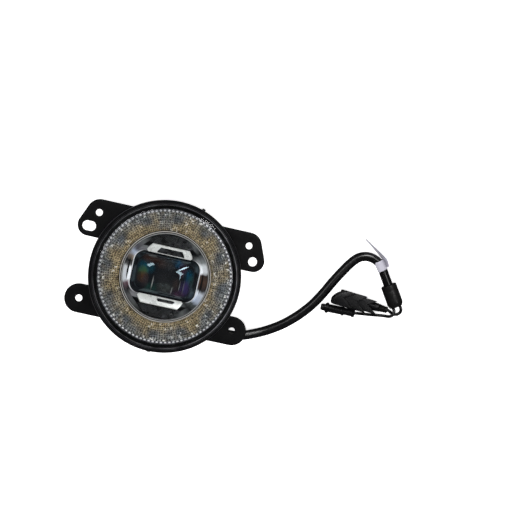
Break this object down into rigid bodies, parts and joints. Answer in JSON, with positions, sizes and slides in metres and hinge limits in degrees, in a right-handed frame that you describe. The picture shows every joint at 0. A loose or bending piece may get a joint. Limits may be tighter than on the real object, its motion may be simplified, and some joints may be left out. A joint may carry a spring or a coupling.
{
  "type": "fog light",
  "caption": "Round LED fog light with a rectangular projector lens, a halo ring, two steel side brackets with mounting ears and a short cable ending in two plugs.",
  "frame": {"origin": "middle of the heat sink's rear face, on the lamp's optical axis", "axes": "+Z is the way the light shines, +Y is up and +X is to the right when the mounted lamp is seen from the front"},
  "size_m": [0.236, 0.1063, 0.0605],
  "materials": {
    "cast_black": "black powder coat over die-cast aluminium, fine orange peel",
    "black_plastic": "moulded black plastic, slightly satin",
    "clear_lens": "clear hard-coated polycarbonate",
    "halo_optic": "clear moulded plastic with rows of small pillows",
    "black_rubber": "matt black rubber",
    "white_board": "white solder mask",
    "phosphor": "yellow phosphor of an unlit white LED",
    "chrome": "bright vacuum-metallised plastic",
    "projector_glass": "thick coated lens, dark with blue and amber tints",
    "zinc": "bright zinc plate",
    "black_steel": "matt black coat on 2 mm sheet steel",
    "silicone": "soft grey gap pad",
    "green_board": "green solder mask",
    "red_wire": "red wire insulation",
    "cable_jacket": "black PVC jacket with a soft gloss",
    "sleeve_rubber": "moulded dark grey-black rubber",
    "plug_plastic": "moulded black nylon, satin",
    "paper": "white plastic-coated label paper",
    "brass": "plated brass contact"
  },
  "bodies": {
    "lamp": {"heat_sink_housing": "cast_black", "front_bezel": "black_plastic", "outer_lens": "clear_lens", "lens_gasket": "black_rubber", "halo_optic": "halo_optic", "halo_board": "white_board", "halo_led_01": "phosphor", "halo_led_02": "phosphor", "halo_led_03": "phosphor", "halo_led_04": "phosphor", "halo_led_05": "phosphor", "halo_led_06": "phosphor", "halo_led_07": "phosphor", "halo_led_08": "phosphor", "halo_led_09": "phosphor", "halo_led_10": "phosphor", "halo_led_11": "phosphor", "halo_led_12": "phosphor", "inner_bezel": "chrome", "projector_lens": "projector_glass", "lens_holder": "black_plastic", "holder_screw_1": "zinc", "holder_screw_2": "zinc", "projector_reflector": "chrome", "cutoff_shield": "black_steel", "thermal_pad": "silicone", "main_led_board": "white_board", "main_led_1": "phosphor", "main_led_2": "phosphor", "driver_board": "green_board", "driver_inductor": "black_rubber", "driver_capacitor_1": "zinc", "driver_capacitor_2": "zinc", "driver_chip": "black_plastic", "gland_body": "black_plastic", "gland_nut": "black_plastic", "gland_seal": "black_rubber", "breather_vent": "black_rubber", "bracket_right": "black_steel", "bracket_left": "black_steel", "bracket_screw_1": "zinc", "bracket_screw_2": "zinc", "bracket_screw_3": "zinc", "bracket_screw_4": "zinc", "internal_lead_red": "red_wire", "internal_lead_black": "cable_jacket", "cable": "cable_jacket", "halo_plug_lead": "cable_jacket", "plug_lead": "cable_jacket", "inline_sleeve": "sleeve_rubber", "flag_label": "paper", "plug_housing": "plug_plastic", "plug_boot": "sleeve_rubber", "plug_contact_1": "brass", "plug_contact_2": "brass", "halo_plug_body": "plug_plastic", "halo_plug_seal": "black_rubber", "halo_plug_contact": "brass"},
    "plug_latch": {"plug_latch": "plug_plastic"},
    "plug_lock": {"plug_lock": "plug_plastic"}
  },
  "joints": [
    {"name": "latch_press", "type": "hinge", "parent": "lamp", "child": "plug_latch", "pos_m": [0.12469, 0.01089, 0.01185], "axis": [0.061, 0.9981, 0], "range_deg": [0, 4.5], "stiffness_Nm_per_rad": 0.05},
    {"name": "lock_slide", "type": "slide", "parent": "lamp", "child": "plug_lock", "axis": [0.9981, -0.061, 0], "range_m": [0, 0.0015]}
  ]
}
